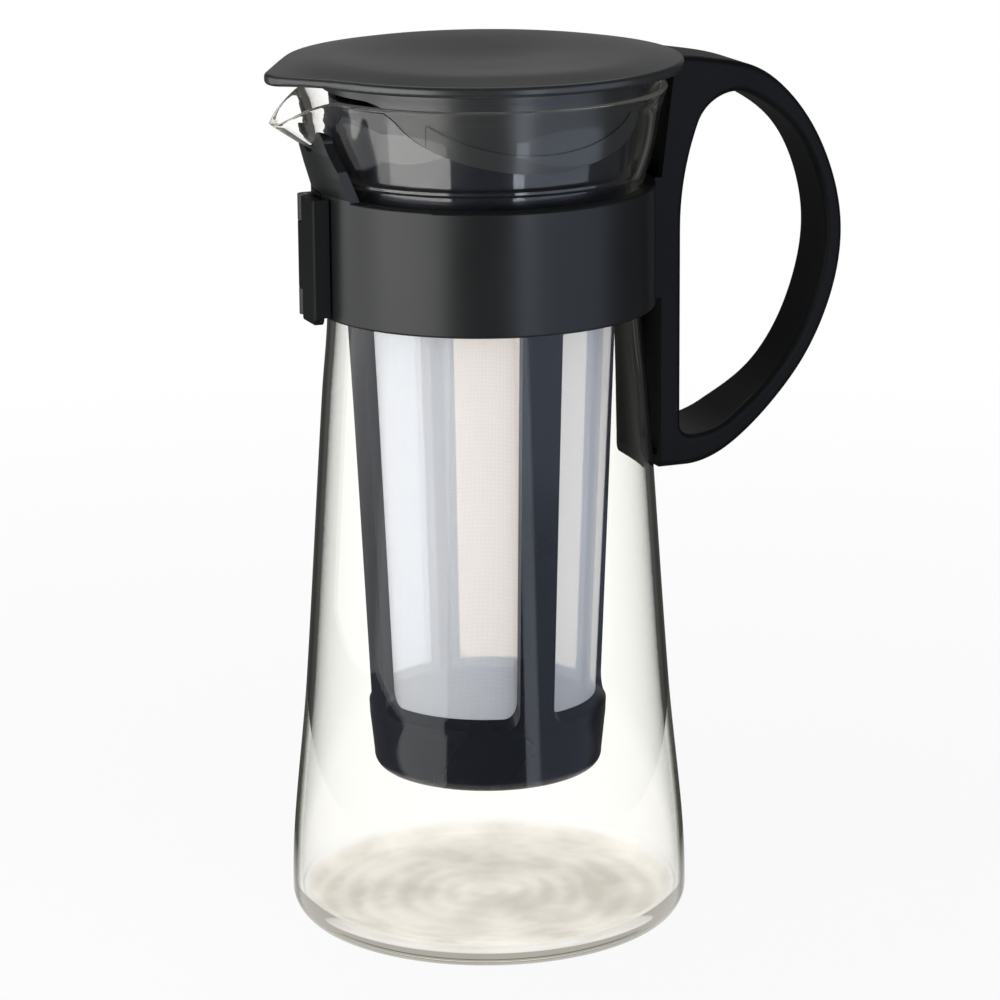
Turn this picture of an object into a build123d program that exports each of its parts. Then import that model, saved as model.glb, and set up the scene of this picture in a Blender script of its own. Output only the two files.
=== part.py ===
from build123d import *
from math import acos, cos, degrees, pi, radians, sin, sqrt
import os

# Cold brew coffee maker: a glass jug, a split neck band with a handle, a lift-off lid
# and a hanging mesh filter.  Millimetres, +Z up.  The origin is the centre of the
# jug's underside; the spout points to -X and the handle to +X.

# ---- jug -------------------------------------------------------------------------
WALL = 2.0                 # glass thickness
FLOOR = 3.4                # glass thickness at the bottom
BASE_R = 47.5              # widest radius, just above the bottom corner
BASE_CORNER = 6.5          # outer radius of the bottom corner
WAIST_R = 36.8             # groove that holds the band
BELLY_Z = 58.0             # a point half way up the taper
BELLY_SHARE = 0.54         # how far the taper still is from the neck there
NECK_STEP = 1.6            # the neck is this much wider than the groove
NECK_DROP = 21.5           # the taper ends this far below the groove
MOUTH_H = 23.7             # from the groove to the pouring rim
RIM_FLARE = 6.2            # the rim stands out this far beyond the groove
MOUTH_CURVE = [(0.0, 0.0), (0.25, 0.34), (0.46, 0.55), (0.78, 0.73), (1.08, 1.09)]
SPOUT_OUT = 9.0            # the spout's tip beyond the rim
SPOUT_DIP = 6.1            # the rim dips this much towards the tip
SPOUT_START = 1.5          # and starts to dip this far inside the rim
SPOUT_ROOT = 13.2          # the spout starts this far below the rim
SPOUT_HALF_ANGLE = 20.0    # half the width of the spout at the rim, degrees
MOUTH_ANGLES = [0, 3, 6, 9, 13, 18, 24, 32, 44, 60, 80, 104, 130, 156]
GLASS_SEAM = 0.05          # step between bowl and mouth, hidden by the band

# ---- band and clasp --------------------------------------------------------------
BAND_T = 3.0               # band thickness
BAND_Z0 = 148.9            # lower edge of the band
BAND_H = 28.7
BAND_OVERLAP = 0.6         # the groove is shorter than the band by this at each end
GLASS_GAP = 0.3            # clearance of plastic parts to the glass
BAND_SPLIT = 0.8           # width of the slit at the front
BAND_EDGE = 0.6            # edge rounding of the band
CRADLE_T = 2.2             # thickness of the tab that rises under the spout
CRADLE_DROP = 7.5          # the tab's prongs end this far below the rim
CRADLE_BASE_W = 27.0       # width of the tab where it leaves the band
CRADLE_TOP_W = 18.4        # width of the tab across its two prongs
CRADLE_NOTCH_W, CRADLE_NOTCH_H = 8.8, 5.6
PIN_R = 0.8
PIN_OFFSET = 4.6           # the clasp pin stands this far beside the slit
PIN_FIT = 0.05             # radial clearance of the clasp on its pin
KNUCKLE_R = 1.9
KNUCKLE_LEN = 6.0          # length of each band knuckle
KNUCKLE_GAP = 0.3          # end clearance between knuckles
CLASP_T = 2.3
CLASP_REACH = 6.0          # free edge of the clasp, beyond the middle of the slit
CLASP_LIP = 1.2            # thickness of the lip along the free edge
CLASP_DROP = 0.8           # the clasp hangs this far below the band
CLASP_GAP = 0.4            # clearance between clasp and band
CLASP_CORNER = 2.0         # radius of the clasp's lower free corner
CLASP_EDGE = 0.8           # edge rounding along its free edge
CATCH_W, CATCH_H = 1.0, 1.0
CATCH_INSET = 3.0          # the catch is shorter than the band by this at each end
CATCH_ROOT = 0.5           # what stands on the band keeps this far off its inner face

# ---- handle ----------------------------------------------------------------------
SPINE_W = 22.0             # width of the spine and of the top of the handle
SPINE_DEPTH = 5.3          # from the spine's open back to its front face
SPINE_GAP = 0.3            # the spine's back edge stands off the band by this
SPINE_WALL = 2.4
SPINE_DROP = 41.3          # the spine reaches this far below the band
HANDLE_STEP = 1.6          # the handle's top is this far above the lid's underside
RIM_CLEARANCE = 0.35       # the handle's top clears the glass rim by this
GRIP_W = 15.5              # width of the grip
GRIP_OUT = 43.6            # outermost point of the grip, from the spine's front face
GRIP_T = 4.3               # thickness of the grip at that point
TOP_T, FOOT_T = 9.4, 7.4   # thickness above and below the finger opening
LOOP_CORNER = 2.6          # radius of the opening's lower corner
LEAN_RISE, LEAN_R, LEAN_ANGLE = 57.4, 70.0, 20.5   # the spine leans out above this
FOOT_FLAT, TOP_FLAT = 1.5, 0.8   # the outline runs flat this far beyond the spine
HANDLE_EDGE = 1.6          # edge rounding of the handle
LUG_INSET = 5.0            # the lug under the spine is shorter than the band by this
LUG_ROOT = 1.2             # the lug starts this deep inside the band
SEAT_FIT = 0.05            # clearance of parts that are pressed together
# Outlines as (share of the way out, share of the way up), from the foot to the top.
GRIP_SHAPE = [(0.33, 0.045), (0.69, 0.177), (0.91, 0.343), (1.0, 0.555)]
GRIP_SHAPE += [(0.92, 0.718), (0.745, 0.857), (0.484, 0.955), (0.133, 0.994)]
LOOP_SHAPE = [(0.35, 0.041), (0.557, 0.11), (0.75, 0.207), (0.929, 0.379), (1.0, 0.579)]
LOOP_SHAPE += [(0.949, 0.722), (0.771, 0.884), (0.562, 0.964), (0.328, 1.0)]

# ---- lid -------------------------------------------------------------------------
LID_OVERHANG = 3.5         # the lid beyond the glass rim
LID_BEAK = 6.1             # the beak beyond the lid's circle
LID_TIP_R = 9.0            # radius of the beak in plan
LID_LIFT = 3.3             # underside of the lid above the glass rim
LID_T = 4.0                # from the underside to the ridge, the highest point
LID_EDGE_T = 2.6           # thickness at the outer edge
RIDGE_INSET = 10.5         # the ridge lies this far inside the edge
DISH_DEPTH = 2.3
LID_EDGE = 0.9             # edge rounding of the lid
LID_RELIEF, LID_RELIEF_W = 0.4, 3.0   # the underside rises by this near the edge
BEAK_DROP, BEAK_SAG = 0.7, 1.0        # top and underside fall by this towards the beak
LID_GAP = 0.5              # clearance of the handle to the lid
SKIRT_T = 1.3
SKIRT_DRAFT = 0.5          # the skirt narrows by this from top to bottom
SKIRT_DEPTH = 15.1         # the wavy edge reaches this far below the glass rim
WAVE_TOP = 3.1             # its high stretch is this far below the lid's underside
WAVE_INSET = 2.4           # the deep stretch ends this far inside the skirt's radius
WAVE_SHAPE = [(0.0, 0.0), (0.35, 0.09), (0.64, 0.31), (0.82, 0.64), (0.91, 0.9), (1.0, 1.0)]
LIP_T = 0.35               # crescent lip that stands proud of the skirt
LIP_RISE = 4.2             # height of the crescent in the middle
LIP_HALF = 24.6            # half length of the crescent
LIP_SWEEP = 7.0            # its ends are this much higher than its middle

# ---- filter ----------------------------------------------------------------------
FILTER_SINK = 1.8          # the filter's rim lies this far below the glass rim
FILTER_LEN = 161.7
SEAT_GAP = 0.3             # the lid stands this far above the filter's rim
FUNNEL_TAPER = 1.5         # the funnel narrows by this
FLANGE_RISE = 4.6          # top of the seat flange above the groove
FLANGE_T = 1.2
BARREL_STEP = 0.5          # the barrel under the flange is narrower by this
CAGE_STEP = 1.1            # and the cage narrower still by this
CAGE_TAPER = 4.2           # the cage narrows by this from top to bottom
WINDOW_INSET = 1.1         # the windows end this far above the band's lower edge
CUP_H = 17.8               # from the underside to the windows
CUP_STEP = 1.0             # the cup narrows by this
CUP_CORNER = 3.0
FRAME_T = 1.8              # wall of the funnel and of the cup
RIB_T = 2.6                # depth of the ribs in front of the mesh
RIB_COUNT = 4
RIB_ANGLE = 17.5           # width of a rib, degrees
RIB_CLOCKING = 2.5         # the ribs stand this far from the main axes, degrees
WINDOW_CORNER = 3.5
SILL_RISE = 2.2            # the sill climbs by this much towards the mesh
MESH_T = 0.5
MESH_GAP = 0.02
MESH_LAP = 2.6             # the mesh laps behind the frame by this much

# ---- sizes that follow -----------------------------------------------------------
BAND_Z1 = BAND_Z0 + BAND_H
BAND_INNER = WAIST_R + GLASS_GAP
BAND_R = BAND_INNER + BAND_T
WAIST_Z0, WAIST_Z1 = BAND_Z0 + BAND_OVERLAP, BAND_Z1 - BAND_OVERLAP
NECK_R, NECK_Z = WAIST_R + NECK_STEP, WAIST_Z0 - NECK_DROP
RIM_Z, RIM_R = WAIST_Z1 + MOUTH_H, WAIST_R + RIM_FLARE
SPOUT_REACH = RIM_R + SPOUT_OUT
SPOUT_TIP_Z, SPOUT_ROOT_Z = RIM_Z - SPOUT_DIP, RIM_Z - SPOUT_ROOT
CRADLE_TOP = RIM_Z - CRADLE_DROP
SPINE_BACK = BAND_R + SPINE_GAP
SPINE_FRONT = SPINE_BACK + SPINE_DEPTH
SPINE_FOOT = BAND_Z0 - SPINE_DROP
GRIP_REACH = SPINE_FRONT + GRIP_OUT
LID_UNDER, LID_R = RIM_Z + LID_LIFT, RIM_R + LID_OVERHANG
LID_TIP = LID_R + LID_BEAK
LID_TOP = LID_UNDER + LID_T
HANDLE_TOP = LID_UNDER + HANDLE_STEP
SKIRT_LOW = RIM_Z - SKIRT_DEPTH
FILTER_RIM_Z = RIM_Z - FILTER_SINK
FUNNEL_Z = WAIST_Z1 + FLANGE_RISE
WINDOW_TOP = BAND_Z0 + WINDOW_INSET
CUP_Z = FILTER_RIM_Z - FILTER_LEN
SILL_Z = CUP_Z + CUP_H


def turned(points):
    """Turn a closed outline of (radius, height) points around Z."""
    outline = Polyline(*[(r, 0, z) for r, z in points], close=True)
    return revolve(make_face(outline), Axis.Z)


def side_prism(edges, half_width):
    """Extrude a closed outline, drawn in the XZ plane, to both sides."""
    return extrude(Pos(0, -half_width, 0) * make_face(Wire(edges)), 2 * half_width, dir=(0, 1, 0))


def mirror_x(points):
    """The same (x, z) points on the other side of x = 0, in reverse order."""
    return [(-x, z) for x, z in reversed(points)]


def side(points):
    """Place (x, z) pairs in the XZ plane."""
    return [(x, 0, z) for x, z in points]


def front(points):
    """Place (y, z) pairs in the YZ plane."""
    return [(0, y, z) for y, z in points]


# ---- jug -------------------------------------------------------------------------
def jug_half(inset, bottom):
    """Half section of the jug up to the band groove, moved inwards by inset."""
    corner = BASE_CORNER - 0.5 * inset
    foot = BASE_R - inset - corner
    slant = corner * (1 - cos(pi / 4))
    belly = NECK_R + BELLY_SHARE * (BASE_R - NECK_R)
    edges = [
        Line((0, 0, bottom), (foot, 0, bottom)),
        ThreePointArc(
            (foot, 0, bottom),
            (foot + corner - slant, 0, bottom + slant),
            (foot + corner, 0, bottom + corner),
        ),
        Spline(
            (foot + corner, 0, bottom + corner),
            (belly - inset, 0, BELLY_Z),
            (NECK_R - inset, 0, NECK_Z),
            (WAIST_R - inset, 0, WAIST_Z0),
            tangents=[(0, 0, 1), (0, 0, 1)],
            tangent_scalars=[1, 1],
        ),
        Polyline(
            (WAIST_R - inset, 0, WAIST_Z0),
            (WAIST_R - inset, 0, WAIST_Z1),
            (0, 0, WAIST_Z1),
            (0, 0, bottom),
        ),
    ]
    return make_face(Wire([e for curve in edges for e in curve.edges()]))


def mouth_radius(z):
    """Outer radius of the flared mouth, without the spout."""
    knots = [(WAIST_Z1 + h * MOUTH_H, WAIST_R + GLASS_SEAM + f * RIM_FLARE) for h, f in MOUTH_CURVE]
    for (z0, r0), (z1, r1) in zip(knots, knots[1:]):
        if z <= z1:
            return r0 + (r1 - r0) * max(0.0, z - z0) / (z1 - z0)
    return knots[-1][1]


def glass_inside(z):
    """Inner radius of the flared mouth."""
    return mouth_radius(z) - WALL


def mouth_section(z, inset):
    """Closed outline of the mouth at height z: a circle with the spout pushed out."""
    climb = max(0.0, (z - SPOUT_ROOT_Z) / (SPOUT_TIP_Z - SPOUT_ROOT_Z))
    push = (SPOUT_REACH - mouth_radius(SPOUT_TIP_Z)) * min(1.0, climb) ** 0.8
    widen = max(0.0, min(1.0, (z - SPOUT_ROOT_Z) / SPOUT_ROOT))
    half_angle = SPOUT_HALF_ANGLE * (0.4 + 0.6 * widen)
    points = []
    for away in MOUTH_ANGLES + [180] + [-a for a in reversed(MOUTH_ANGLES[1:])]:
        turn = radians(180 + away)
        share = min(1.0, abs(away) / half_angle)
        r = mouth_radius(z) - inset + push * 0.5 * (1 + cos(pi * share))
        points.append((r * cos(turn), r * sin(turn), z))
    return Wire([Spline(*points, periodic=True).edge()])


def mouth(inset):
    """The flared mouth as a filled form."""
    shares = [-0.05, 0.0, 0.13, 0.25, 0.36, 0.46, 0.55, 0.64, 0.74, 0.85, 1.0, 1.07]
    return Solid.make_loft([mouth_section(WAIST_Z1 + share * MOUTH_H, inset) for share in shares])


def rim_cutter():
    """Everything above the pouring rim, which dips towards the spout's tip."""
    high, far = RIM_Z + MOUTH_H, 2 * RIM_R
    start, tip = -RIM_R + SPOUT_START, -SPOUT_REACH - 1
    tip_z = SPOUT_TIP_Z - 0.1 * SPOUT_DIP
    dip = Spline(
        (start, 0, RIM_Z),
        ((start - SPOUT_REACH) / 2, 0, RIM_Z - 0.45 * SPOUT_DIP),
        (tip, 0, tip_z),
        tangents=[(-1, 0, 0), (-1, 0, -0.6)],
        tangent_scalars=[1, 1],
    )
    frame = Polyline(
        (tip, 0, tip_z),
        (tip - SPOUT_OUT, 0, tip_z),
        (tip - SPOUT_OUT, 0, high),
        (far, 0, high),
        (far, 0, RIM_Z),
        (start, 0, RIM_Z),
    )
    return side_prism(dip.edges() + frame.edges(), far)


def make_jug():
    below = block(-2 * BASE_R, 2 * BASE_R, -2 * BASE_R, 2 * BASE_R, 0, WAIST_Z1)
    bowl = revolve(jug_half(0, 0), Axis.Z) - revolve(jug_half(WALL, FLOOR), Axis.Z)
    flare = mouth(0) - mouth(WALL) - below - rim_cutter()
    return bowl + flare


# ---- band and clasp --------------------------------------------------------------
def band_surface(y):
    """Distance of the band's outer face from the YZ plane at side offset y."""
    return sqrt(BAND_R ** 2 - y ** 2)


def cradle():
    """Tab with two prongs that stands up behind the spout."""
    rise = CRADLE_TOP - BAND_Z1
    inner = [(BAND_R - CRADLE_T, BAND_Z1 - 0.5), (BAND_R - CRADLE_T, BAND_Z1 + 0.4)]
    heights = [BAND_Z1 + share * rise for share in (0.35, 0.67, 1.06)]
    inner += [(mouth_radius(z) + GLASS_GAP + 0.1, z) for z in heights]
    outer = [(r + CRADLE_T, z) for r, z in reversed(inner)]
    shell = turned(inner + outer)
    base, top, notch = CRADLE_BASE_W / 2, CRADLE_TOP_W / 2, CRADLE_NOTCH_W / 2
    tip = CRADLE_TOP - (top - notch) / 2
    notch_low = CRADLE_TOP - CRADLE_NOTCH_H
    bottom = BAND_Z1 - 0.5
    slope = [(-base, bottom), (-base + 0.3 * (base - top), bottom + 0.48 * rise), (-top, tip)]
    prong = [(-top, tip), (-(top + notch) / 2, CRADLE_TOP), (-notch, tip)]
    dip = [(-notch, notch_low + notch), (0, notch_low), (notch, notch_low + notch)]
    curves = [
        Polyline(*front(slope)),
        ThreePointArc(*front(prong)),
        Line(*front([(-notch, tip), dip[0]])),
        ThreePointArc(*front(dip)),
        Line(*front([dip[2], (notch, tip)])),
        ThreePointArc(*front(mirror_x(prong))),
        Polyline(*front(mirror_x(slope))),
        Line(*front([(base, bottom), (-base, bottom)])),
    ]
    outline = make_face(Wire([e for curve in curves for e in curve.edges()]))
    prism = extrude(outline, 2 * BASE_R, dir=(-1, 0, 0))
    return (shell & prism) - mouth(-GLASS_GAP)


def pin_axis():
    """Where the clasp pin stands, in plan."""
    return -(band_surface(PIN_OFFSET) + CLASP_GAP + KNUCKLE_R), PIN_OFFSET


def upright(radius, z0, z1, at=(0, 0)):
    """Upright round bar between two heights."""
    return Pos(at[0], at[1], z0) * Cylinder(radius, z1 - z0, align=(Align.CENTER, Align.CENTER, Align.MIN))


def block(x0, x1, y0, y1, z0, z1):
    """Box between two corners."""
    return Pos(x0, y0, z0) * Box(x1 - x0, y1 - y0, z1 - z0, align=(Align.MIN, Align.MIN, Align.MIN))


def make_band():
    hoop = turned([(BAND_INNER, BAND_Z0), (BAND_R, BAND_Z0), (BAND_R, BAND_Z1), (BAND_INNER, BAND_Z1)])
    rims = hoop.edges().filter_by(GeomType.CIRCLE).sort_by(lambda e: -e.radius)[:2]
    band = fillet(rims, BAND_EDGE) + cradle()
    half_slit = BAND_SPLIT / 2
    band -= block(-BASE_R, 0, -half_slit, half_slit, BAND_Z0 - 1, BAND_Z1 + 0.01)
    band -= block(-BASE_R, 0, -half_slit, CRADLE_BASE_W, BAND_Z1, BAND_Z1 + BAND_SPLIT / 2)
    lug_half = SPINE_W / 2 - SPINE_WALL - SEAT_FIT
    lug_end = SPINE_FRONT - SPINE_WALL - SEAT_FIT
    lug_low, lug_high = BAND_Z0 + LUG_INSET, BAND_Z1 - LUG_INSET
    lug = block(BAND_R - LUG_ROOT, lug_end, -lug_half, lug_half, lug_low, lug_high)
    pin_x, pin_y = pin_axis()
    root = -BAND_INNER - CATCH_ROOT
    catch_y = CATCH_W + CLASP_GAP - CLASP_REACH + CLASP_LIP
    catch_x = -band_surface(catch_y) - CATCH_H
    catch_low, catch_high = BAND_Z0 + CATCH_INSET, BAND_Z1 - CATCH_INSET
    catch = block(catch_x, root, catch_y - CATCH_W, catch_y, catch_low, catch_high)
    band += [lug, catch]
    for z in (BAND_Z0 + KNUCKLE_GAP, BAND_Z1 - KNUCKLE_GAP - KNUCKLE_LEN):
        band += upright(KNUCKLE_R, z, z + KNUCKLE_LEN, (pin_x, pin_y))
        band += block(pin_x, root, pin_y - KNUCKLE_R, pin_y + KNUCKLE_R, z, z + KNUCKLE_LEN)
    return band - upright(PIN_R + SEAT_FIT, BAND_Z0 - 1, BAND_Z1 + 1, (pin_x, pin_y))


def make_clasp_pin():
    pin = upright(PIN_R, BAND_Z0 + KNUCKLE_GAP, BAND_Z1 - KNUCKLE_GAP, pin_axis())
    return chamfer(pin.edges().filter_by(GeomType.CIRCLE), PIN_R / 4)


def make_clasp():
    pin_x, pin_y = pin_axis()
    face_x = pin_x - KNUCKLE_R
    low, high = BAND_Z0 - CLASP_DROP, BAND_Z1 - KNUCKLE_GAP
    knuckle_low = BAND_Z0 + 2 * KNUCKLE_GAP + KNUCKLE_LEN
    knuckle_high = BAND_Z1 - 2 * KNUCKLE_GAP - KNUCKLE_LEN
    plate = block(face_x, face_x + CLASP_T, -CLASP_REACH, pin_y, low, high)
    plate = fillet(plate.edges().filter_by(Axis.X).group_by(Axis.Z)[0].sort_by(Axis.Y)[:1], CLASP_CORNER)
    plate = fillet(plate.faces().sort_by(Axis.X)[0].edges().filter_by(Axis.Z).sort_by(Axis.Y)[:1], CLASP_EDGE)
    lip_back = -(band_surface(CLASP_REACH - CLASP_LIP) + CLASP_GAP)
    lip = block(face_x + 0.9, lip_back, -CLASP_REACH, -CLASP_REACH + CLASP_LIP, BAND_Z0 + 1, high)
    clasp = plate + lip
    keep = pin_y - KNUCKLE_R - KNUCKLE_GAP
    for z0, z1 in ((low - 1, knuckle_low), (knuckle_high, high + 1)):
        clasp -= block(face_x - 1, 0, keep, pin_y + KNUCKLE_R + 1, z0, z1)
    clasp += upright(KNUCKLE_R, knuckle_low, knuckle_high, (pin_x, pin_y))
    return clasp - upright(PIN_R + PIN_FIT, low - 1, high + 1, (pin_x, pin_y))


# ---- handle ----------------------------------------------------------------------
def grip_outline():
    """Outer outline of the handle, seen from the side."""
    height = HANDLE_TOP - SPINE_FOOT
    foot = (SPINE_FRONT + FOOT_FLAT, 0, SPINE_FOOT)
    top = (SPINE_FRONT + TOP_FLAT, 0, HANDLE_TOP)
    points = [(SPINE_FRONT + u * GRIP_OUT, 0, SPINE_FOOT + v * height) for u, v in GRIP_SHAPE]
    curve = Spline(foot, *points, top, tangents=[(1, 0, 0), (-1, 0, 0)], tangent_scalars=[1, 1])
    middle = (BAND_Z1 + RIM_Z) / 2
    back = Polyline(
        top,
        (RIM_R + 2 * RIM_CLEARANCE, 0, HANDLE_TOP),
        (RIM_R + RIM_CLEARANCE, 0, RIM_Z),
        (mouth_radius(middle) + 4 * RIM_CLEARANCE, 0, middle),
        (SPINE_BACK, 0, BAND_Z1),
        (SPINE_BACK, 0, SPINE_FOOT),
        foot,
    )
    return curve.edges() + back.edges()


def loop_outline():
    """Outline of the finger opening, from the spine's foot around and back."""
    low, high = SPINE_FOOT + FOOT_T, HANDLE_TOP - TOP_T
    lean_z = SPINE_FOOT + LEAN_RISE
    start = SPINE_FRONT + LOOP_CORNER
    bevel = LOOP_CORNER * (1 - cos(pi / 4))
    foot = Line((SPINE_FRONT, 0, lean_z), (SPINE_FRONT, 0, low + LOOP_CORNER))
    corner = ThreePointArc(
        (SPINE_FRONT, 0, low + LOOP_CORNER),
        (SPINE_FRONT + bevel, 0, low + bevel),
        (start, 0, low),
    )
    width = GRIP_OUT - GRIP_T
    points = [(SPINE_FRONT + u * width, 0, low + v * (high - low)) for u, v in LOOP_SHAPE]
    rise = TangentArc((start, 0, low), points[0], tangent=(1, 0, 0))
    angles = [radians(LEAN_ANGLE * t) for t in (0, 0.5, 1)]
    leaning = [(SPINE_FRONT + LEAN_R * (1 - cos(a)), 0, lean_z + LEAN_R * sin(a)) for a in angles]
    lean = ThreePointArc(*leaning)
    bend = TangentArc(leaning[2], points[-1], tangent=(sin(angles[2]), 0, cos(angles[2])))
    curve = Spline(*points, tangents=[rise % 1, -(bend % 1)], tangent_scalars=[1, 1])
    return [e for part in (foot, corner, rise, curve, bend, lean) for e in part.edges()]


def plan_outline():
    """Width of the handle seen from above: full at the spine, slim at the grip."""
    wide, slim = SPINE_W / 2, GRIP_W / 2
    neck, grip = SPINE_FRONT + 0.18 * GRIP_OUT, SPINE_FRONT + 0.68 * GRIP_OUT
    near = Spline((neck, wide), (grip, slim), tangents=[(1, 0), (1, 0)], tangent_scalars=[1, 1])
    far = Spline((grip, -slim), (neck, -wide), tangents=[(-1, 0), (-1, 0)], tangent_scalars=[1, 1])
    end = Polyline((grip, slim), (GRIP_REACH + 2, slim), (GRIP_REACH + 2, -slim), (grip, -slim))
    back = Polyline((neck, -wide), (0, -wide), (0, wide), (neck, wide))
    return make_face(Wire(near.edges() + end.edges() + far.edges() + back.edges()))


def make_handle():
    form = side_prism(grip_outline(), SPINE_W) - side_prism(loop_outline(), SPINE_W + 1)
    form &= extrude(plan_outline(), 2 * HANDLE_TOP)
    form = fillet(form.edges().filter_by(is_flank_edge), HANDLE_EDGE)
    half = SPINE_W / 2
    form += block(BAND_INNER, SPINE_BACK + 1, -half, half, BAND_Z0, BAND_Z1)
    form -= upright(BAND_R + SEAT_FIT, BAND_Z0 - 1, BAND_Z1 + 1)
    hollow_half = half - SPINE_WALL
    deep = SPINE_FRONT - SPINE_WALL
    hollow_top = LID_UNDER - LID_GAP - SPINE_WALL
    form -= block(0, deep, -hollow_half, hollow_half, SPINE_FOOT + SPINE_WALL, hollow_top)
    form -= revolve(jug_half(-GLASS_GAP, 0), Axis.Z)
    return form - upright(LID_R + LID_GAP, LID_UNDER - LID_GAP, HANDLE_TOP + LID_T)


def is_flank_edge(edge):
    """Edges that run around the loop on either flank of the handle."""
    start, end = edge @ 0, edge @ 1
    runs_along_flank = start.Y * end.Y > 1 and min(start.X, end.X) > SPINE_FRONT - 0.1
    return runs_along_flank and (abs(start.X - end.X) > 0.1 or start.X < SPINE_FRONT + 0.1)


# ---- lid -------------------------------------------------------------------------
def teardrop(radius, tip, tip_radius):
    """Plan outline: a circle drawn out to a rounded beak at -X."""
    reach = tip - tip_radius
    lean = acos((radius - tip_radius) / reach)
    flat = [(-radius * cos(lean), radius * sin(lean))]
    flat.append((-reach - tip_radius * cos(lean), tip_radius * sin(lean)))
    (x0, y0), (x1, y1) = flat
    edges = [
        ThreePointArc((x0, -y0), (radius, 0), (x0, y0)),
        Line((x0, y0), (x1, y1)),
        ThreePointArc((x1, y1), (-tip, 0), (x1, -y1)),
        Line((x1, -y1), (x0, -y0)),
    ]
    return make_face(Wire([e for curve in edges for e in curve.edges()]))


def lid_section():
    """Half section of the lid's disc: dish, ridge and the edge that runs on to the beak."""
    end = LID_TIP + 2
    ridge, edge_z = LID_R - RIDGE_INSET, LID_UNDER + LID_EDGE_T
    centre = LID_TOP - DISH_DEPTH
    edges = [
        Spline((0, 0, centre), (ridge, 0, LID_TOP), tangents=[(1, 0, 0), (1, 0, 0)], tangent_scalars=[1, 1]),
        Spline(
            (ridge, 0, LID_TOP),
            (LID_R, 0, edge_z),
            (end, 0, edge_z - BEAK_DROP),
            tangents=[(1, 0, 0), (1, 0, -0.05)],
            tangent_scalars=[1, 1],
        ),
        Polyline(
            (end, 0, edge_z - BEAK_DROP),
            (end, 0, LID_UNDER - BEAK_SAG),
            (LID_R, 0, LID_UNDER + LID_RELIEF),
            (LID_R - LID_RELIEF_W, 0, LID_UNDER),
            (0, 0, LID_UNDER),
            (0, 0, centre),
        ),
    ]
    return make_face(Wire([e for curve in edges for e in curve.edges()]))


def is_rim_edge(edge):
    """Edges along the outside of the disc, above and below."""
    ends = [edge @ t for t in (0, 0.5, 1)]
    outside = min(e.X ** 2 + e.Y ** 2 for e in ends) > (LID_R - 1) ** 2
    return outside and abs(ends[0].Z - ends[2].Z) < 1.5 and edge.length > LID_T


def skirt_radius(z):
    """Outer radius of the skirt, which is guided by the glass at its lowest point."""
    low = glass_inside(SKIRT_LOW) - GLASS_GAP - LIP_T
    return low + SKIRT_DRAFT * (z - SKIRT_LOW) / (LID_UNDER - SKIRT_LOW)


def filter_rim_radius():
    return skirt_radius(FILTER_RIM_Z) - SKIRT_T - GLASS_GAP


def below_wave():
    """Everything below the skirt's wavy edge."""
    low, high = SKIRT_LOW, LID_UNDER - WAVE_TOP
    reach = skirt_radius(low) - WAVE_INSET
    half = [(u * reach, low + v * (high - low)) for u, v in WAVE_SHAPE]
    curve = Spline(*side(mirror_x(half[1:]) + half))
    wide = 2 * BASE_R
    frame = Polyline(
        (reach, 0, high),
        (wide, 0, high),
        (wide, 0, low - SKIRT_DEPTH),
        (-wide, 0, low - SKIRT_DEPTH),
        (-wide, 0, high),
        (-reach, 0, high),
    )
    return side_prism(curve.edges() + frame.edges(), wide)


def crescent():
    """Side view of the proud lip: a crescent that hugs the wavy edge."""
    low = SKIRT_LOW + LIP_RISE
    half = [(0, low), (0.62 * LIP_HALF, low + 0.33 * LIP_SWEEP), (LIP_HALF, low + LIP_SWEEP)]
    arc = Spline(*side(mirror_x(half[1:]) + half))
    bottom = SKIRT_LOW - SKIRT_DEPTH
    ends = [half[2], (LIP_HALF, bottom), (-LIP_HALF, bottom), (-LIP_HALF, low + LIP_SWEEP)]
    return side_prism(arc.edges() + Polyline(*side(ends)).edges(), 2 * BASE_R)


def ring(low, high, outer, inner):
    """Turned wall between two heights; outer and inner give the radius at a height."""
    return turned([(outer(low), low), (outer(high), high), (inner(high), high), (inner(low), low)])


def seat_inside(z):
    """Inner radius of the ledge that stands on the filter's rim."""
    return skirt_radius(z) - SKIRT_T - GLASS_GAP - FRAME_T


def make_lid():
    disc = revolve(lid_section(), Axis.Z)
    disc &= extrude(teardrop(LID_R, LID_TIP, LID_TIP_R), 2 * LID_TOP)
    disc = fillet(disc.edges().filter_by(is_rim_edge), LID_EDGE)
    low, high = SKIRT_LOW - 1, LID_UNDER + 0.5
    stop = FILTER_RIM_Z + SEAT_GAP
    skirt = ring(low, high, skirt_radius, lambda z: skirt_radius(z) - SKIRT_T)
    lip = ring(low, high - 2, lambda z: skirt_radius(z) + LIP_T, lambda z: skirt_radius(z) - 0.5)
    seat = ring(stop, high, lambda z: skirt_radius(z) - SKIRT_T / 2, seat_inside)
    return disc + ((skirt + seat + (lip & crescent())) - below_wave())


# ---- filter ----------------------------------------------------------------------
def cage_radius(z):
    """Outer radius of the ribs at height z; the cage tapers evenly."""
    top = filter_rim_radius() - FUNNEL_TAPER - BARREL_STEP - CAGE_STEP
    return top - CAGE_TAPER * (WINDOW_TOP - z) / (WINDOW_TOP - SILL_Z)


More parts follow.
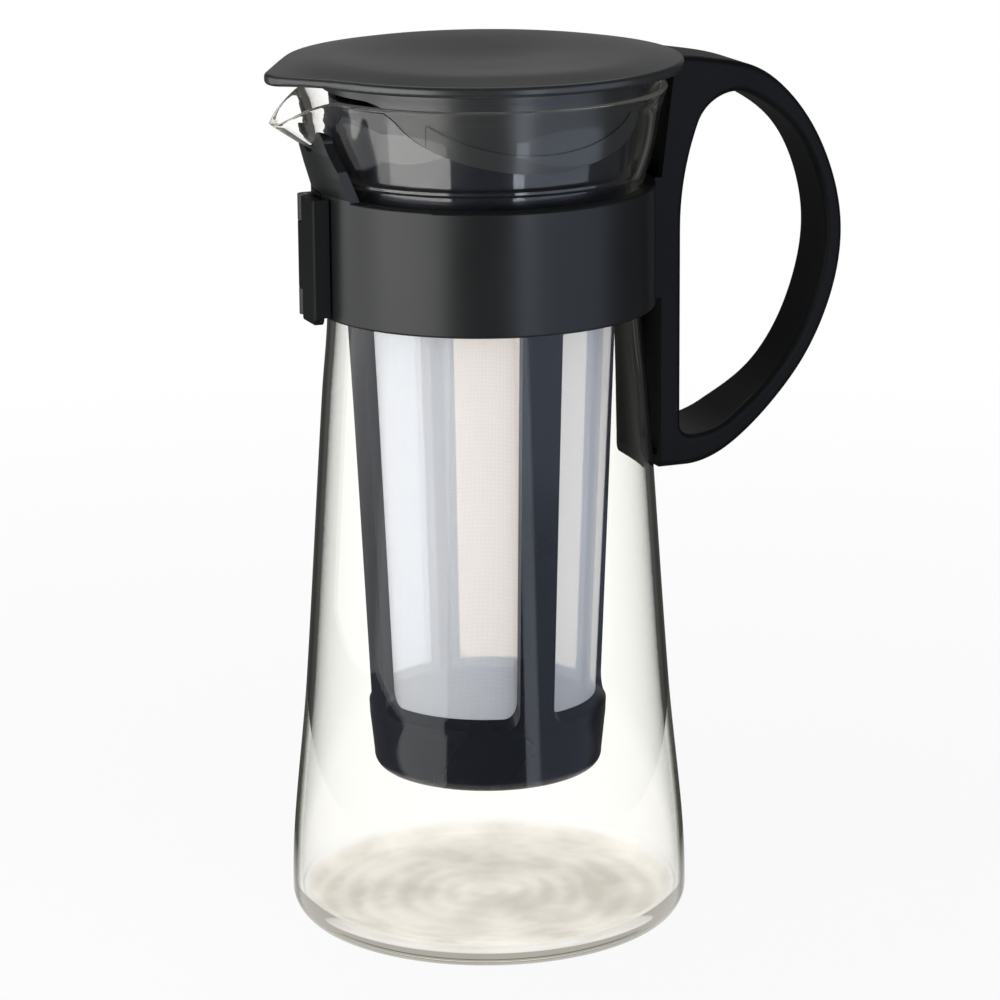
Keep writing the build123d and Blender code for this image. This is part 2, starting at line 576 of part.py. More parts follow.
def make_filter_frame():
    rim = filter_rim_radius()
    funnel = rim - FUNNEL_TAPER
    barrel = funnel - BARREL_STEP
    flange_z = FUNNEL_Z - FLANGE_T
    flange = glass_inside(flange_z + 0.6) - GLASS_GAP
    shoulder = WINDOW_TOP + MESH_LAP + 0.6
    cup_top = SILL_Z - SILL_RISE - 3
    cup = cage_radius(cup_top) - CUP_STEP
    frame = turned([
        (rim, FILTER_RIM_Z),
        (funnel, FUNNEL_Z),
        (flange, FUNNEL_Z),
        (flange, flange_z + 0.6),
        (flange - 0.4, flange_z),
        (barrel, flange_z - 0.4),
        (cage_radius(shoulder), shoulder),
        (cage_radius(cup_top), cup_top),
        (cup, CUP_Z + CUP_CORNER),
        (cup, CUP_Z),
        (0, CUP_Z),
        (0, CUP_Z + FRAME_T),
        (cup - FRAME_T, CUP_Z + FRAME_T),
        (cup - FRAME_T, CUP_Z + CUP_CORNER),
        (cage_radius(cup_top) - RIB_T, cup_top),
        (cage_radius(shoulder) - RIB_T, shoulder),
        (barrel - FRAME_T, flange_z - 0.4),
        (funnel - FRAME_T, FUNNEL_Z),
        (rim - FRAME_T, FILTER_RIM_Z),
    ])
    rounds = frame.edges().filter_by(GeomType.CIRCLE).group_by(Axis.Z)[0]
    frame = fillet(rounds, CUP_CORNER - 0.3)
    return frame - [window(i) for i in range(RIB_COUNT)]


def window(index):
    """Cutter for one opening between two ribs, with a sloping sill and rounded corners."""
    span = 360 / RIB_COUNT - RIB_ANGLE
    slope = SILL_RISE / RIB_T
    narrow, wide = cage_radius(SILL_Z), cage_radius(WINDOW_TOP)
    near, far = narrow - 3 * RIB_T, wide + RIB_T
    outline = Polyline(
        (near, 0, SILL_Z + slope * (narrow - RIB_T - near)),
        (far, 0, SILL_Z - SILL_RISE - slope * (far - narrow)),
        (far, 0, WINDOW_TOP),
        (near, 0, WINDOW_TOP),
        close=True,
    )
    cutter = revolve(make_face(outline), Axis.Z, span)
    radial = cutter.edges().filter_by(GeomType.LINE).filter_by(lambda e: is_radial(e, far - near))
    first = RIB_CLOCKING + RIB_ANGLE / 2
    return Rot(0, 0, first + index * 360 / RIB_COUNT) * fillet(radial, WINDOW_CORNER)


def is_radial(edge, run):
    """Whether a straight edge runs from the inner to the outer radius."""
    start, end = edge @ 0, edge @ 1
    climb = abs(end.Z - start.Z)
    return abs(sqrt(max(0.0, edge.length ** 2 - climb ** 2)) - run) < 0.01


def make_mesh_panel(index):
    """Woven mesh panel behind one opening."""
    back = RIB_T + MESH_GAP
    low, high = SILL_Z - MESH_LAP, WINDOW_TOP + MESH_LAP
    lap = degrees(MESH_LAP / cage_radius(SILL_Z))
    outline = Polyline(
        (cage_radius(low) - back, 0, low),
        (cage_radius(high) - back, 0, high),
        (cage_radius(high) - back - MESH_T, 0, high),
        (cage_radius(low) - back - MESH_T, 0, low),
        close=True,
    )
    panel = revolve(make_face(outline), Axis.Z, 360 / RIB_COUNT - RIB_ANGLE + 2 * lap)
    first = RIB_CLOCKING + RIB_ANGLE / 2 - lap
    return Rot(0, 0, first + index * 360 / RIB_COUNT) * panel


def write(shape, name):
    os.makedirs("parts", exist_ok=True)
    export_step(shape, "parts/" + name + ".step")


def main():
    write(make_jug(), "glass_jug")
    write(make_band(), "neck_band")
    write(make_handle(), "handle")
    write(make_clasp(), "clasp")
    write(make_clasp_pin(), "clasp_pin")
    write(make_lid(), "lid")
    write(make_filter_frame(), "filter_frame")
    for i in range(RIB_COUNT):
        write(make_mesh_panel(i), f"mesh_panel_{i + 1}")


main()
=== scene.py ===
# %% [markdown]
# # Cold brew coffee maker
# A glass jug holds the coffee. A plastic band clips round its neck and carries the handle,
# and a long plastic filter with four woven windows hangs inside it under a dished lid.
# The construction model already has every part at its real place and size, in metres, so
# this lesson gives each part its finish and makes new meshes only where the finish needs
# them: the clear glass, whose look depends on smooth, closed walls, and the woven windows,
# whose weave has to follow their curve.

from math import atan2, cos, degrees, hypot, pi, radians, sin

import bpy
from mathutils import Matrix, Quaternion, Vector


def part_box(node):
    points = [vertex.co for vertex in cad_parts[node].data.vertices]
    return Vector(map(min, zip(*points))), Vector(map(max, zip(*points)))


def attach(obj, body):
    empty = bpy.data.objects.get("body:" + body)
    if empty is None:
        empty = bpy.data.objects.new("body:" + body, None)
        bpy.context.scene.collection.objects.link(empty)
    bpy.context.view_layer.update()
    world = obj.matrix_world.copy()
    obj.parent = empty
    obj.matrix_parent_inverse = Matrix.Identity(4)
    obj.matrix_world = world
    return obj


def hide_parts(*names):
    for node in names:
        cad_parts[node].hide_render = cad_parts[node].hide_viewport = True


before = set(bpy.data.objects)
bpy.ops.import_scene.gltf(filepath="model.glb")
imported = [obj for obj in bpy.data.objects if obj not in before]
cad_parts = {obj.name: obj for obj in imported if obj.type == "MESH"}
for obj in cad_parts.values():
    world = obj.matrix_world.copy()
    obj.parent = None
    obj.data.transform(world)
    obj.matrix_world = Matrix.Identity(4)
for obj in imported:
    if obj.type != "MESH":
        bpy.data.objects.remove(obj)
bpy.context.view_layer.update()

# %% [markdown]
# ## Camera
# A tall, slim object is best seen from a little above the rim, so that the dish of the lid
# and the ellipse of the base both show. A long lens from almost a metre away keeps the
# jug's sides straight. The camera is aimed at a point on the jug's axis and then rolled
# and shifted a touch, which moves the frame without changing the perspective.

# %% Place the camera
EYE = Vector((-0.3405, -0.8689, 0.34355))
AIM = Vector((0.0, 0.0, 0.10127))
ROLL = radians(-0.47)
bpy.ops.object.select_all(action="DESELECT")
bpy.ops.object.camera_add(location=EYE)
camera = bpy.context.object
camera.name = "camera"
turn = (AIM - EYE).to_track_quat("-Z", "Y") @ Quaternion((0, 0, 1), ROLL)
camera.rotation_euler = turn.to_euler()
camera.data.lens = 146.44
camera.data.sensor_width = 36
camera.data.shift_x = 0.01392
bpy.context.scene.camera = camera
bpy.context.scene.view_settings.view_transform = "Standard"
print("camera is", round((AIM - EYE).length, 3), "m from its aim")

# %% [markdown]
# ## Studio
# Clear glass shows nothing but its surroundings, so the studio is most of its material.
# The world is white to the eye and through glass. Its light on the object is lower, so
# that a colour renders about as it is written. A reflection sees a dim room that is only a
# little paler behind the object, because a room that is white all round would lay a grey
# veil over every dark part and take away the dark outline of the glass.


# %% Small helpers for node trees
def new_node(tree, kind, **settings):
    """Add one node; settings name its properties or its inputs."""
    node = tree.nodes.new(kind)
    for name, value in settings.items():
        if hasattr(node, name):
            setattr(node, name, value)
        else:
            node.inputs[name.replace("_", " ")].default_value = value
    return node


def feed(tree, socket, value):
    """Link a socket into an input, or write a number into it."""
    if isinstance(value, bpy.types.NodeSocket):
        tree.links.new(value, socket)
    else:
        socket.default_value = value


def maths(tree, operation, first, second=None):
    """A Math node; each input is a socket or a number."""
    node = new_node(tree, "ShaderNodeMath", operation=operation)
    feed(tree, node.inputs[0], first)
    if second is not None:
        feed(tree, node.inputs[1], second)
    return node.outputs[0]


def spread(tree, value, low, high, to_low=0.0, to_high=1.0):
    """Map a value between two limits onto another pair of limits."""
    node = tree.nodes.new("ShaderNodeMapRange")
    tree.links.new(value, node.inputs["Value"])
    node.inputs["From Min"].default_value = low
    node.inputs["From Max"].default_value = high
    node.inputs["To Min"].default_value = to_low
    node.inputs["To Max"].default_value = to_high
    return node.outputs[0]


def between(tree, share, first, second):
    """first where share is 0, second where it is 1; sockets or numbers."""
    node = tree.nodes.new("ShaderNodeMix")
    tree.links.new(share, node.inputs[0])
    feed(tree, node.inputs[2], first)
    feed(tree, node.inputs[3], second)
    return node.outputs[0]


def mix_shaders(tree, share, first, second):
    """Mix two shaders by a 0 to 1 socket."""
    node = tree.nodes.new("ShaderNodeMixShader")
    tree.links.new(share, node.inputs[0])
    tree.links.new(first, node.inputs[1])
    tree.links.new(second, node.inputs[2])
    return node.outputs[0]


print("helpers ready")


# %% What kind of path a ray has had
GLASS_GAIN = 0.12  # makes up for the light that each glass wall turns away


def ray_kinds(tree):
    """Masks: seen by eye, mirror or glass; mirrored at least once; lit by a matt surface."""
    path = tree.nodes.new("ShaderNodeLightPath")
    through_glass = path.outputs["Is Transmission Ray"]
    seen = maths(tree, "MAXIMUM", path.outputs["Is Camera Ray"], through_glass)
    seen = maths(tree, "MAXIMUM", seen, path.outputs["Is Glossy Ray"])
    seen = maths(tree, "ADD", seen, maths(tree, "MULTIPLY", through_glass, GLASS_GAIN))
    mirrored = maths(tree, "GREATER_THAN", path.outputs["Glossy Depth"], 0.5)
    matt = maths(tree, "GREATER_THAN", path.outputs["Diffuse Depth"], 0.5)
    return seen, mirrored, matt


print("glass gives back", GLASS_GAIN, "of the light")


# %% The room that a reflection sees
DIM_ROOM = 0.05
BEHIND = (0.365, 0.931, 0.0)  # level direction from the camera's side to the far side


def side_of_room(tree, position, near, far, far_level):
    """Level of a mirrored room: dim on this side, paler straight behind the object."""
    along = new_node(tree, "ShaderNodeVectorMath", operation="DOT_PRODUCT")
    along.inputs[1].default_value = BEHIND
    heading = new_node(tree, "ShaderNodeVectorMath", operation="NORMALIZE")
    tree.links.new(position, heading.inputs[0])
    tree.links.new(heading.outputs["Vector"], along.inputs[0])
    return spread(tree, along.outputs["Value"], near, far, DIM_ROOM, far_level)


print("mirrored room at", DIM_ROOM)


# %% World
WORLD_ON_MATT = 0.42
FAR_WALL = 0.28
world = bpy.data.worlds.new("studio")
bpy.context.scene.world = world
world.use_nodes = True
tree = world.node_tree
sky = tree.nodes["Background"]
sky.inputs["Color"].default_value = (1, 1, 1, 1)
place = tree.nodes.new("ShaderNodeTexCoord")
seen, mirrored, matt = ray_kinds(tree)
wall = side_of_room(tree, place.outputs["Generated"], 0.88, 0.96, FAR_WALL)
level = between(tree, matt, between(tree, mirrored, seen, wall), WORLD_ON_MATT)
tree.links.new(level, sky.inputs["Strength"])
print("world lights the object at", WORLD_ON_MATT)

# %% [markdown]
# ## Lamps
# Four tall softboxes stand in a ring a good third of a metre from the axis, with their
# lower edges just above the floor. A round, polished part mirrors a lamp at half its angle,
# so the key on the left and the dimmer side lamp next to it draw one broad reflection that
# fades towards the outline of the band and the filter. The narrow strip in front adds a
# thin line right of the middle, and the wide fill a cool, weak band further right. The lamp
# overhead only opens the shadows. The lamps are close and not bright, so that the woven
# windows keep their texture.


# %% Add the lamps
def softbox(name, location, aim, width, height, radiance, colour=(1, 1, 1)):
    """Rectangular lamp; its power follows from its size and the brightness of its face."""
    bpy.ops.object.select_all(action="DESELECT")
    bpy.ops.object.light_add(type="AREA", location=location)
    lamp = bpy.context.object
    lamp.name = name
    lamp.data.shape = "RECTANGLE"
    lamp.data.size, lamp.data.size_y = width, height
    lamp.data.energy = radiance * pi * width * height
    lamp.data.color = colour
    lamp.rotation_euler = (Vector(aim) - Vector(location)).to_track_quat("-Z", "Y").to_euler()
    lamp.visible_camera = False


TALL = 0.316
LAMP_Z = 0.16
AXIS = (0, 0, LAMP_Z)
BLUISH, FAINTLY_BLUE = (0.82, 0.94, 1.2), (0.9, 0.97, 1.1)
softbox("key_softbox", (-0.342, -0.1237, LAMP_Z), AXIS, 0.331, TALL, 2.2)
softbox("side_softbox", (-0.3313, 0.154, LAMP_Z), AXIS, 0.271, TALL, 1.1)
softbox("fill_softbox", (0.1812, -0.2884, LAMP_Z), AXIS, 0.415, TALL, 0.6, BLUISH)
softbox("strip_softbox", (0.032, -0.384, LAMP_Z), AXIS, 0.056, TALL, 1.8, FAINTLY_BLUE)
softbox("top_softbox", (0.1, 0.5, 0.9), (0, 0, 0.1), 0.9, 0.5, 0.8)
print("five softboxes")

# %% [markdown]
# ## Floor
# A plain pale sheet. To the eye it is almost white by itself, so that it meets the white
# world without a horizon, and a share of it is still lit by the lamps, which keeps the
# object's soft shadow.

# %% Lay the floor
bpy.ops.object.select_all(action="DESELECT")
bpy.ops.mesh.primitive_plane_add(size=8, location=(0, 0, -0.0002))
floor = bpy.context.object
floor.name = "floor"
bpy.ops.object.transform_apply(location=True)
paper = bpy.data.materials.new("floor_paper")
paper.use_nodes = True
tree = paper.node_tree
sheet = tree.nodes["Principled BSDF"]
sheet.inputs["Base Color"].default_value = (0.93, 0.93, 0.93, 1)
sheet.inputs["Roughness"].default_value = 0.9
sheet.inputs["Specular IOR Level"].default_value = 0.1
floor.data.materials.append(paper)
print("floor at", round(floor.data.vertices[0].co.z, 4))

# %% [markdown]
# A reflection sees the floor dim, like the rest of the room, but for two places. Under the
# jug it stays pale, so that the foot of the glass is clear and not grey. The same holds for
# light that went into the glass wall, was turned back in it and leaves again near the foot.

# %% What a reflection sees of the floor
PALE, FAR_TABLE = 0.9, 0.1
UNDER_JUG = (0.055, 0.085)  # metres from the axis: pale up to the first, dim from the second
NEAR_JUG = 0.2
spot = tree.nodes.new("ShaderNodeTexCoord")
seen, mirrored, matt = ray_kinds(tree)
table = side_of_room(tree, spot.outputs["Object"], 0.72, 0.95, FAR_TABLE)
reach = new_node(tree, "ShaderNodeVectorMath", operation="LENGTH")
tree.links.new(spot.outputs["Object"], reach.inputs[0])
under = spread(tree, reach.outputs["Value"], *UNDER_JUG, PALE, DIM_ROOM)
table = maths(tree, "MAXIMUM", table, under)
walls_passed = tree.nodes.new("ShaderNodeLightPath").outputs["Transmission Depth"]
in_wall = maths(
    tree,
    "MULTIPLY",
    maths(tree, "GREATER_THAN", walls_passed, 0.5),
    maths(tree, "LESS_THAN", walls_passed, 2.5),
)
near_jug = maths(tree, "LESS_THAN", reach.outputs["Value"], NEAR_JUG)
table = between(tree, maths(tree, "MULTIPLY", in_wall, near_jug), table, PALE)
print("floor is pale up to", UNDER_JUG[0], "m from the axis")

# %% Let the floor glow for the eye
GLOW_SHARE = 0.88
GLOW_GROWS = (0.12, 0.6)  # metres from the axis: all glow from the second on
glow = tree.nodes.new("ShaderNodeEmission")
tree.links.new(between(tree, mirrored, seen, table), glow.inputs["Strength"])
share = spread(tree, reach.outputs["Value"], *GLOW_GROWS, GLOW_SHARE, 1.0)
share = maths(tree, "MULTIPLY", maths(tree, "MINIMUM", seen, 1.0), share)
share = between(tree, matt, between(tree, mirrored, share, 1.0), 0.0)
face = mix_shaders(tree, share, sheet.outputs[0], glow.outputs[0])
tree.links.new(face, tree.nodes["Material Output"].inputs["Surface"])
print("floor glows with", GLOW_SHARE, "of its light")

# %% [markdown]
# ## Shape of the jug
# The jug is blown borosilicate glass, 2 mm thick: a wide foot, a slow taper to the neck, a
# straight groove for the band and a flared mouth. Its half section is drawn once, point by
# point, up the outside, over the fire-polished rim and down the inside, and spun round the
# axis. A spun wall has even, smooth curvature, which clear glass needs more than anything
# else, because every dent would bend what is seen through it.

# %% Sizes of the glass, in metres
MM = 0.001
WALL, FLOOR = 2.0 * MM, 3.4 * MM
BASE_R, BASE_CORNER = 47.48 * MM, 6.5 * MM
BELLY_R, BELLY_Z = 43.3 * MM, 58 * MM
NECK_R, NECK_Z = 38.4 * MM, 128 * MM
WAIST_R, WAIST_Z0, WAIST_Z1 = 36.8 * MM, 149.5 * MM, 177 * MM
MOUTH_H, RIM_FLARE, RIM_Z = 23.7 * MM, 6.2 * MM, 200.7 * MM
MOUTH_CURVE = [(0.0, 0.0), (0.25, 0.34), (0.46, 0.55), (0.78, 0.73), (1.08, 1.09)]
SPOUT_ROOT_Z, SPOUT_TIP_Z, SPOUT_REACH = 187.5 * MM, 194.6 * MM, 52 * MM
print("jug is", round(RIM_Z / MM, 1), "mm high to its rim")


# %% Radius of the wall at a height
def smooth_run(knots, t):
    """Smooth curve through (position, value) knots that starts and ends level."""
    spots = [k[0] for k in knots]
    values = [k[1] for k in knots]
    last = len(knots) - 1
    slopes = [0.0] * (last + 1)
    for i in range(1, last):
        back, on = spots[i] - spots[i - 1], spots[i + 1] - spots[i]
        before, after = (values[i] - values[i - 1]) / back, (values[i + 1] - values[i]) / on
        slopes[i] = (before * on + after * back) / (back + on)
    for i in range(last):
        if t <= spots[i + 1] or i == last - 1:
            run = spots[i + 1] - spots[i]
            u = min(1.0, max(0.0, (t - spots[i]) / run))
            rise = values[i] * (1 + 2 * u) * (1 - u) ** 2 + values[i + 1] * u * u * (3 - 2 * u)
            lean = slopes[i] * u * (1 - u) ** 2 - slopes[i + 1] * u * u * (1 - u)
            return rise + run * lean


def mouth_radius(z):
    """Outer radius of the flared mouth."""
    knots = [(WAIST_Z1 + h * MOUTH_H, WAIST_R + f * RIM_FLARE) for h, f in MOUTH_CURVE]
    for (z0, r0), (z1, r1) in zip(knots, knots[1:]):
        if z <= z1:
            return r0 + (r1 - r0) * max(0.0, z - z0) / (z1 - z0)
    return knots[-1][1]


def glass_radius(z):
    """Outer radius of the glass anywhere above its bottom corner."""
    if z > WAIST_Z1:
        near = [mouth_radius(z + step * MM) for step in (-2, -1, 0, 1, 2)]
        return sum(near) / len(near)
    body = [(BASE_CORNER, BASE_R), (BELLY_Z, BELLY_R), (NECK_Z, NECK_R), (WAIST_Z0, WAIST_R)]
    return WAIST_R if z > WAIST_Z0 else smooth_run(body, z)


print("radius at the rim:", round(glass_radius(RIM_Z) / MM, 2), "mm")


# %% Half section, from the axis out, up, over the rim and back down inside
def corner(radius, centre, steps, start, end):
    """Points on an arc in the (radius, height) plane; angles in degrees."""
    angles = [radians(start + (end - start) * i / steps) for i in range(steps + 1)]
    return [(centre[0] + radius * cos(a), centre[1] + radius * sin(a)) for a in angles]


def climb(low, high, inset):
    """Points up the wall between two heights."""
    heights = [low + (high - low) * i / WALL_STEPS for i in range(WALL_STEPS + 1)]
    return [(glass_radius(z) - inset, z) for z in heights]


WALL_STEPS, CORNER_STEPS, RIM_STEPS = 84, 10, 8
FLAT_STEPS = (0.0, 0.18, 0.36, 0.54, 0.7)
INNER_CORNER = BASE_CORNER - WALL / 2
rim_low = RIM_Z - WALL / 2
outside = [(r * BASE_R, 0.0) for r in FLAT_STEPS]
outside += corner(BASE_CORNER, (BASE_R - BASE_CORNER, BASE_CORNER), CORNER_STEPS, -90, 0)
outside += climb(BASE_CORNER, rim_low, 0)[1:]
over = corner(WALL / 2, (glass_radius(RIM_Z) - WALL / 2, rim_low), RIM_STEPS, 0, 180)[1:]
floor_corner = (BASE_R - WALL - INNER_CORNER, FLOOR + INNER_CORNER)
inside = climb(floor_corner[1], rim_low, WALL)[::-1][1:]
inside += corner(INNER_CORNER, floor_corner, CORNER_STEPS, 0, -90)[1:]
inside += [(r * BASE_R, FLOOR) for r in reversed(FLAT_STEPS)]
section = outside + over + inside
print("half section has", len(section), "points")


# %% Draw the section and spin it
def draw_line(name, points):
    """One vertex, extruded from point to point in the XZ plane."""
    bpy.ops.object.select_all(action="DESELECT")
    bpy.ops.mesh.primitive_plane_add(size=0.001)
    line = bpy.context.object
    line.name = name
    bpy.ops.object.mode_set(mode="EDIT")
    bpy.ops.mesh.select_all(action="SELECT")
    bpy.ops.mesh.merge(type="CENTER")
    bpy.ops.transform.translate(value=(points[0][0], 0, points[0][1]))
    for (r0, z0), (r1, z1) in zip(points, points[1:]):
        step = {"value": (r1 - r0, 0, z1 - z0)}
        bpy.ops.mesh.extrude_region_move(TRANSFORM_OT_translate=step)
    bpy.ops.object.mode_set(mode="OBJECT")
    return line


glass = draw_line("clear_jug", section)
bpy.ops.object.mode_set(mode="EDIT")
bpy.ops.mesh.select_all(action="SELECT")
bpy.ops.mesh.spin(steps=160, angle=2 * pi, center=(0, 0, 0), axis=(0, 0, 1))
bpy.ops.mesh.select_all(action="SELECT")
bpy.ops.mesh.remove_doubles(threshold=0.00002)
bpy.ops.mesh.normals_make_consistent(inside=False)
bpy.ops.object.mode_set(mode="OBJECT")
bpy.ops.object.shade_smooth()
print("glass:", len(glass.data.vertices), "vertices,", len(glass.data.polygons), "faces")

# %% [markdown]
# ## Pouring spout
# On a real jug the spout is pulled from the hot rim with a tool: the wall moves out and a
# little down, and its thickness stays. So each vertex near the mouth is moved by one
# smooth formula, out by a cosine bump round the front and down by a dip that grows towards
# the tip. Proportional editing could pull a similar spout, but not one that fits the
# cradle of the band exactly.

# %% Formula of the spout
SPOUT_HALF_ANGLE = 20
SPOUT_ROOT_SHARE = 0.4
RIM_DIP_START, RIM_DIP_RUN = 1.5 * MM, 10.5 * MM


def spout_push(z, away):
    """How far the wall moves out at a height and an angle from the spout's middle."""
    height = max(0.0, (z - SPOUT_ROOT_Z) / (SPOUT_TIP_Z - SPOUT_ROOT_Z))
    push = (SPOUT_REACH - mouth_radius(SPOUT_TIP_Z)) * min(1.0, height) ** 0.8
    widen = max(0.0, min(1.0, (z - SPOUT_ROOT_Z) / (RIM_Z - SPOUT_ROOT_Z)))
    half_angle = SPOUT_HALF_ANGLE * (SPOUT_ROOT_SHARE + (1 - SPOUT_ROOT_SHARE) * widen)
    return push * 0.5 * (1 + cos(pi * min(1.0, away / half_angle)))


def rim_dip(x):
    """How far the rim has sunk at x; the tip of the spout is at -X."""
    run = max(0.0, (-x - (glass_radius(RIM_Z) - RIM_DIP_START)) / RIM_DIP_RUN)
    sunk = 0.55 * run + 0.4 * run * run + 0.1 * min(1.0, run) ** 3
    return (RIM_Z - SPOUT_TIP_Z) * sunk


print("rim sinks by", round(rim_dip(-SPOUT_REACH) / MM, 2), "mm at the tip")

# %% Pull the spout
AT_SPOUT = 30  # degrees to either side
moved = 0
for vertex in glass.data.vertices:
    x, y, z = vertex.co
    away = 180 - abs(degrees(atan2(y, x)))
    if z <= SPOUT_ROOT_Z or away > AT_SPOUT:
        continue
    r = hypot(x, y)
    share = (z - SPOUT_ROOT_Z) / (RIM_Z - SPOUT_ROOT_Z)
    new_z = z
    for _ in range(8):
        wall = glass_radius(new_z) + spout_push(new_z, away)
        new_z = z - share * rim_dip(-wall * cos(radians(away)))
    new_r = r + glass_radius(new_z) - glass_radius(z) + spout_push(new_z, away)
    vertex.co = (x * new_r / r, y * new_r / r, new_z)
    moved += 1
print("spout moved", moved, "vertices")

# %% [markdown]
# ## Woven windows
# Each window of the filter is a fine polyester cloth, moulded in behind the ribs. A short
# straight line is spun over the window's angle, so the cloth keeps the cage's taper, and
# the thickness of the cloth is added last. The angles and heights are those of the
# construction model's panels.


# %% Measure the panels of the construction model
def panel_shape(node):
    """Radius at the foot and at the top of a panel's outer face, its heights and its angles."""
    low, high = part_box(node)
    points = [v.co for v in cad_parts[node].data.vertices]
    at_edge = 0.2 * MM
    foot = max(hypot(p.x, p.y) for p in points if p.z < low[2] + at_edge)
    top = max(hypot(p.x, p.y) for p in points if p.z > high[2] - at_edge)
    angles = [atan2(p.y, p.x) for p in points]
    return foot, low[2], top, high[2], min(angles), max(angles)


print("first panel:", [round(value, 4) for value in panel_shape("mesh_panel_1")])


# %% Spin the four cloth panels
CLOTH_T = 0.2 * MM
CLOTH_ROWS, CLOTH_STEPS = 12, 24
cloths = []
for index in range(4):
    foot, low, top, high, start, end = panel_shape(f"mesh_panel_{index + 1}")
    cloth = draw_line(f"cloth_window_{index + 1}", [(foot, low), (top, high)])
    bpy.ops.object.mode_set(mode="EDIT")
    bpy.ops.mesh.select_all(action="SELECT")
    bpy.ops.mesh.subdivide(number_cuts=CLOTH_ROWS - 1)
    bpy.ops.mesh.spin(steps=CLOTH_STEPS, angle=end - start, center=(0, 0, 0), axis=(0, 0, 1))
    bpy.ops.object.mode_set(mode="OBJECT")
    spun_from = min(atan2(v.co.y, v.co.x) for v in cloth.data.vertices)
    cloth.rotation_euler = (0, 0, start - spun_from)
    bpy.ops.object.transform_apply(rotation=True)
    face = cloth.data.polygons[0]
    if face.normal.dot(Vector((face.center.x, face.center.y, 0))) < 0:
        bpy.ops.object.mode_set(mode="EDIT")
        bpy.ops.mesh.select_all(action="SELECT")
        bpy.ops.mesh.flip_normals()
        bpy.ops.object.mode_set(mode="OBJECT")
    skin = cloth.modifiers.new("thickness", "SOLIDIFY")
    skin.thickness, skin.offset = CLOTH_T, -1
    bpy.ops.object.modifier_apply(modifier=skin.name)
    bpy.ops.object.shade_smooth_by_angle(angle=radians(40))
    cloths.append(cloth)
    print(cloth.name, "from", round(degrees(start), 1), "to", round(degrees(end), 1), "degrees")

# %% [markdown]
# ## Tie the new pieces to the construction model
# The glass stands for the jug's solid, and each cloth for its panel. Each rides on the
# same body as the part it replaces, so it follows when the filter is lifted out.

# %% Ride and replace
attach(glass, "jug")
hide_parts("glass_jug")
for index, cloth in enumerate(cloths):
    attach(cloth, "filter")
    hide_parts(f"mesh_panel_{index + 1}")
print("glass and", len(cloths), "cloths tied")

# %% [markdown]
# ## Moulded grain
# The dark parts are injection mouldings from a spark-eroded tool, which leaves a fine
# satin grain, and the melt leaves faint broad patches where it cooled a little faster.
# Four materials share this, so it is a node group: fine noise gives the height of the
# grain, and a broad noise gives a patch mask that shifts colour and roughness a little.


# %% Node groups and their sockets
def new_group(name, inputs, outputs):
    """An empty shader group; inputs are (name, kind, default) and outputs (name, kind)."""
    group = bpy.data.node_groups.new(name, "ShaderNodeTree")
    for title, kind, default in inputs:
        socket = group.interface.new_socket(name=title, in_out="INPUT", socket_type=kind)
        if default is not None:
            socket.default_value = default
    for title, kind in outputs:
        group.interface.new_socket(name=title, in_out="OUTPUT", socket_type=kind)
    return group, group.nodes.new("NodeGroupInput"), group.nodes.new("NodeGroupOutput")


def noise(tree, vector, scale, detail=2.0, roughness=0.5):
    """Noise texture on a vector socket; scale is a socket or a number."""
    node = new_node(tree, "ShaderNodeTexNoise", Detail=detail, Roughness=roughness)
    tree.links.new(vector, node.inputs["Vector"])
    feed(tree, node.inputs["Scale"], scale)
    return node.outputs["Fac"]


GRAIN_IN = [
    ("Vector", "NodeSocketVector", None),
    ("Grain Scale", "NodeSocketFloat", 2600.0),
    ("Patch Scale", "NodeSocketFloat", 28.0),
]
GRAIN_OUT = [("Height", "NodeSocketFloat"), ("Patches", "NodeSocketFloat")]
grain, way_in, way_out = new_group("moulded_grain", GRAIN_IN, GRAIN_OUT)
fine = noise(grain, way_in.outputs["Vector"], way_in.outputs["Grain Scale"], 3.0, 0.6)
broad = noise(grain, way_in.outputs["Vector"], way_in.outputs["Patch Scale"])
grain.links.new(fine, way_out.inputs["Height"])
grain.links.new(spread(grain, broad, 0.35, 0.65), way_out.inputs["Patches"])
print("group moulded_grain ready")

# %% [markdown]
# ## Satin plastics
# The band is a warm charcoal, and the lid is the same plastic with a shinier skin. The
# handle and the clasp are a deeper black with a duller grain, and the filter is a bluish
# slate. The base colours are dark but not black, because real carbon-filled polypropylene
# still returns a few percent of the light, and the broad soft highlight on the band comes
# from its roughness.


# %% Build a plastic
def mix_colours(tree, share, first, second):
    """Mix two colours by a 0 to 1 socket; each colour is a socket or three numbers."""
    node = new_node(tree, "ShaderNodeMix", data_type="RGBA")
    tree.links.new(share, node.inputs[0])
    colours = [socket for socket in node.inputs if socket.type == "RGBA"]
    for socket, value in zip(colours, (first, second)):
        feed(tree, socket, (*value, 1) if isinstance(value, tuple) else value)
    return [socket for socket in node.outputs if socket.type == "RGBA"][0]


def new_material(name):
    """A node material: the material, its tree and its Principled shader."""
    material = bpy.data.materials.new(name)
    material.use_nodes = True
    return material, material.node_tree, material.node_tree.nodes["Principled BSDF"]


